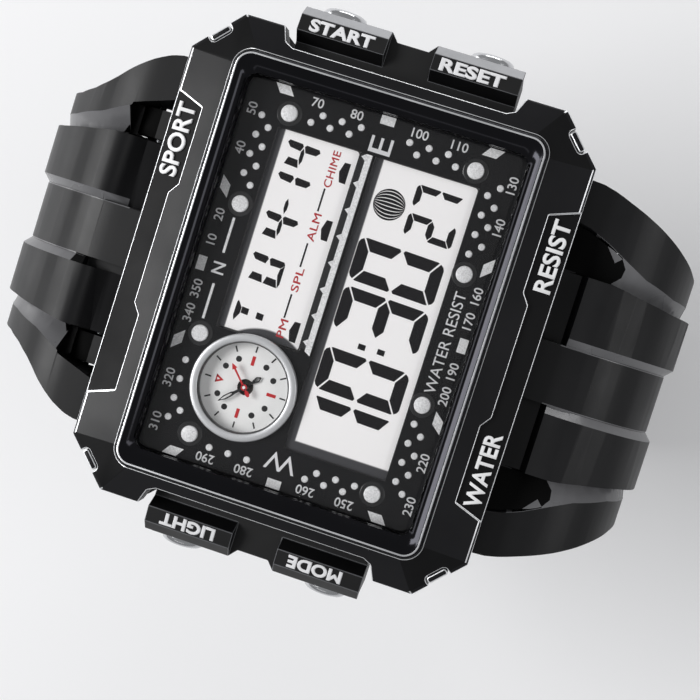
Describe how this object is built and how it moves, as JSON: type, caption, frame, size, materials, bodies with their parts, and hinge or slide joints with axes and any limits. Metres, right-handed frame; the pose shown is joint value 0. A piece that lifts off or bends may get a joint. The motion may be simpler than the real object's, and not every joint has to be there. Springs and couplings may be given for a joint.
{
  "type": "digital wristwatch",
  "caption": "Rectangular digital wristwatch with octagonal bezel, small analogue gauge, guarded side pushers and a moulded resin strap with pin buckle.",
  "frame": {"origin": "on the table, under the middle of the dial, with the watch standing face up on its open strap", "axes": "+X to 3 o'clock, +Y to 12 o'clock and +Z out of the dial"},
  "size_m": [0.053, 0.066, 0.0615],
  "materials": {
    "bezel_resin": "satin charcoal moulded resin with a metallic sheen",
    "case_resin": "matte black moulded resin",
    "polished_black": "piano black, polished",
    "crystal": "clear mineral glass",
    "seal_rubber": "black nitrile rubber",
    "dial_black": "matt printed dial film",
    "stud_silver": "polished domed studs",
    "gauge_silver": "circular satin steel",
    "gauge_white": "white printed disc",
    "hand_black": "black lacquered hands",
    "hand_red": "red lacquered hand",
    "lcd": "reflective liquid crystal panel",
    "backlight": "frosted light guide",
    "holder_plastic": "natural moulded plastic",
    "movement_metal": "plated movement housing",
    "board_green": "solder masked circuit board",
    "strip_rubber": "layered contact elastomer",
    "spring_steel": "stainless spring steel",
    "cell_steel": "nickel plated cell can",
    "sounder_brass": "brass disc with ceramic",
    "back_steel": "brushed stainless steel",
    "screw_steel": "stainless screws",
    "pusher_steel": "polished stainless steel",
    "strap_resin": "matte black polyurethane",
    "buckle_steel": "dark plated brushed steel"
  },
  "bodies": {
    "case": {"backlight_panel": "backlight", "battery_cell": "cell_steel", "battery_clip": "spring_steel", "bezel": "bezel_resin", "button_guard_left": "case_resin", "button_guard_right": "case_resin", "case_back": "back_steel", "case_back_screws": "screw_steel", "case_back_seal": "seal_rubber", "case_body": "case_resin", "circuit_board": "board_green", "contact_strips": "strip_rubber", "corner_pads": "polished_black", "crystal": "crystal", "crystal_seal": "seal_rubber", "dial_mask": "dial_black", "dial_studs": "stud_silver", "divider_bar": "gauge_silver", "gauge_dial": "gauge_white", "gauge_movement": "movement_metal", "gauge_ring": "gauge_silver", "lcd_panel": "lcd", "module_holder": "holder_plastic", "pusher_contacts": "spring_steel", "pusher_seals": "seal_rubber", "pusher_spring_light": "spring_steel", "pusher_spring_mode": "spring_steel", "pusher_spring_reset": "spring_steel", "pusher_spring_start": "spring_steel", "rim_frame": "polished_black", "sounder_disc": "sounder_brass", "spring_bar_lower": "spring_steel", "spring_bar_upper": "spring_steel"},
    "second_hand": {"second_hand": "hand_red"},
    "minute_hand": {"minute_hand": "hand_black"},
    "hour_hand": {"hour_hand": "hand_black"},
    "strap_upper": {"strap_upper": "strap_resin", "buckle_bar": "spring_steel", "keeper_fixed": "strap_resin"},
    "strap_lower": {"strap_lower": "strap_resin"},
    "buckle_frame": {"buckle_frame": "buckle_steel"},
    "buckle_tongue": {"buckle_tongue": "buckle_steel"},
    "keeper_free": {"keeper_free": "strap_resin"},
    "pusher_start": {"pusher_start": "pusher_steel", "pusher_clip_start": "spring_steel"},
    "pusher_reset": {"pusher_reset": "pusher_steel", "pusher_clip_reset": "spring_steel"},
    "pusher_light": {"pusher_light": "pusher_steel", "pusher_clip_light": "spring_steel"},
    "pusher_mode": {"pusher_mode": "pusher_steel", "pusher_clip_mode": "spring_steel"}
  },
  "joints": [
    {"name": "second_hand_turn", "type": "hinge", "parent": "case", "child": "second_hand", "pos_m": [-0.0099, 0.00543, 0.0577], "axis": [0, 0, -1], "continuous": true},
    {"name": "minute_hand_turn", "type": "hinge", "parent": "case", "child": "minute_hand", "pos_m": [-0.0099, 0.00543, 0.0577], "axis": [0, 0, -1], "continuous": true},
    {"name": "hour_hand_turn", "type": "hinge", "parent": "case", "child": "hour_hand", "pos_m": [-0.0099, 0.00543, 0.0577], "axis": [0, 0, -1], "continuous": true},
    {"name": "strap_upper_swing", "type": "hinge", "parent": "case", "child": "strap_upper", "pos_m": [0, 0.02145, 0.0526], "axis": [-1, 0, 0], "range_deg": [-2, 12], "stiffness_Nm_per_rad": 1.5},
    {"name": "strap_lower_swing", "type": "hinge", "parent": "case", "child": "strap_lower", "pos_m": [0, -0.02145, 0.0526], "axis": [1, 0, 0], "range_deg": [-2, 11], "stiffness_Nm_per_rad": 1.5},
    {"name": "buckle_swing", "type": "hinge", "parent": "strap_upper", "child": "buckle_frame", "pos_m": [0, -0.002, 0.0174], "axis": [-1, 0, 0], "range_deg": [-50, 70]},
    {"name": "tongue_lift", "type": "hinge", "parent": "buckle_frame", "child": "buckle_tongue", "pos_m": [0, -0.002, 0.0174], "axis": [1, 0, 0], "range_deg": [0, 60]},
    {"name": "keeper_slide", "type": "slide", "parent": "strap_upper", "child": "keeper_free", "axis": [0, 1, 0], "range_m": [-0.001, 0.006]},
    {"name": "pusher_start_press", "type": "slide", "parent": "case", "child": "pusher_start", "axis": [-1, 0, 0], "range_m": [0, 0.0009], "stiffness_N_per_m": 300, "deforming": ["pusher_spring_start"]},
    {"name": "pusher_reset_press", "type": "slide", "parent": "case", "child": "pusher_reset", "axis": [-1, 0, 0], "range_m": [0, 0.0009], "stiffness_N_per_m": 300, "deforming": ["pusher_spring_reset"]},
    {"name": "pusher_light_press", "type": "slide", "parent": "case", "child": "pusher_light", "axis": [1, 0, 0], "range_m": [0, 0.0009], "stiffness_N_per_m": 300, "deforming": ["pusher_spring_light"]},
    {"name": "pusher_mode_press", "type": "slide", "parent": "case", "child": "pusher_mode", "axis": [1, 0, 0], "range_m": [0, 0.0009], "stiffness_N_per_m": 300, "deforming": ["pusher_spring_mode"]}
  ],
  "couplings": [
    {"joint": "minute_hand_turn", "follows": "second_hand_turn", "ratio": 0.016667},
    {"joint": "hour_hand_turn", "follows": "second_hand_turn", "ratio": 0.0013889}
  ]
}
